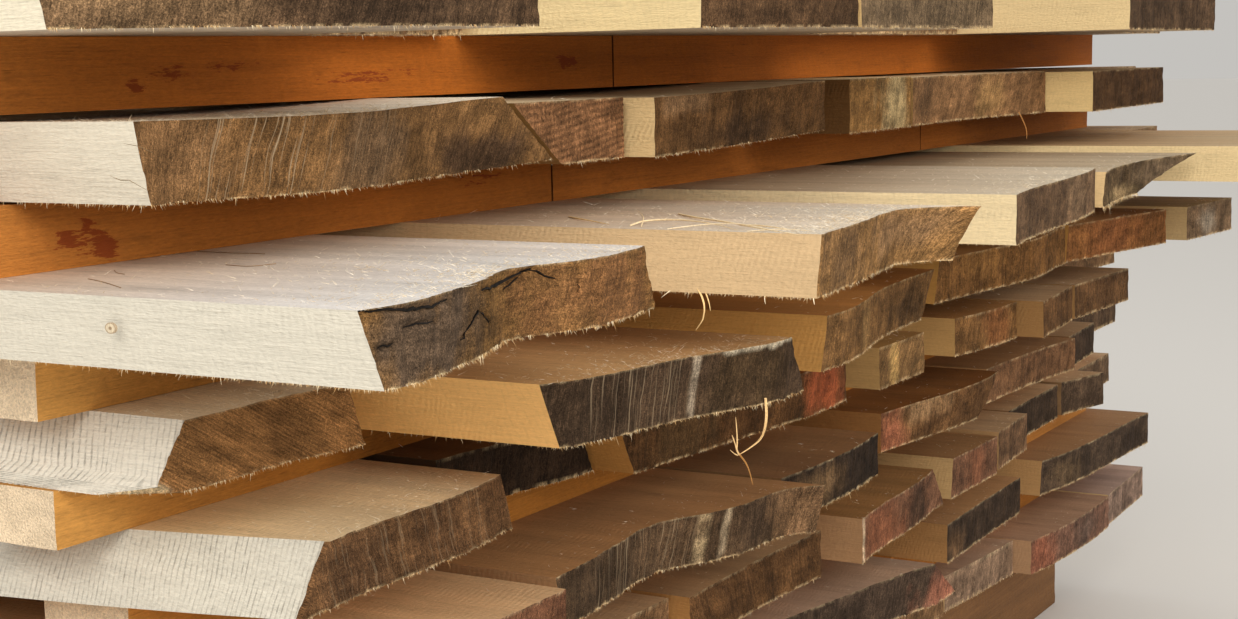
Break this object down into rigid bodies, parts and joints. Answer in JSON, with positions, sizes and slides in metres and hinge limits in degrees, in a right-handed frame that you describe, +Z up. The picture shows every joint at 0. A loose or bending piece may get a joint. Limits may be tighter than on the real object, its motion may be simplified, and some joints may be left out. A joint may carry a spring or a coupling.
{
  "type": "stack of lumber",
  "caption": "Air-drying stack of rough-sawn boards of uneven width, held apart by thin wooden stickers, on squared timber bearers, with staggered ends.",
  "frame": {"origin": "middle of the stack's footprint, on the floor under the bearers", "axes": "+X along the boards, towards the ends that the picture shows; +Y across the stack; +Z up"},
  "size_m": [2.615, 1.345, 0.543],
  "materials": {
    "sawn_boards": "rough-sawn, unplaned, with weathered ends",
    "sticker_pine": "sawn, darkened orange-brown",
    "bearer_timber": "sawn, darkened brown"
  },
  "bodies": {
    "root": {"bearer_1": "bearer_timber", "bearer_2": "bearer_timber", "bearer_3": "bearer_timber", "bearer_4": "bearer_timber", "bearer_5": "bearer_timber", "board_layer_1": "sawn_boards", "board_layer_2": "sawn_boards", "board_layer_3": "sawn_boards", "board_layer_4": "sawn_boards", "board_layer_5": "sawn_boards", "board_layer_6": "sawn_boards", "board_layer_7": "sawn_boards", "board_layer_8": "sawn_boards", "board_layer_9": "sawn_boards", "sticker_column_1": "sticker_pine", "sticker_column_2": "sticker_pine", "sticker_column_3": "sticker_pine", "sticker_column_4": "sticker_pine", "sticker_column_5": "sticker_pine"}
  },
  "joints": []
}
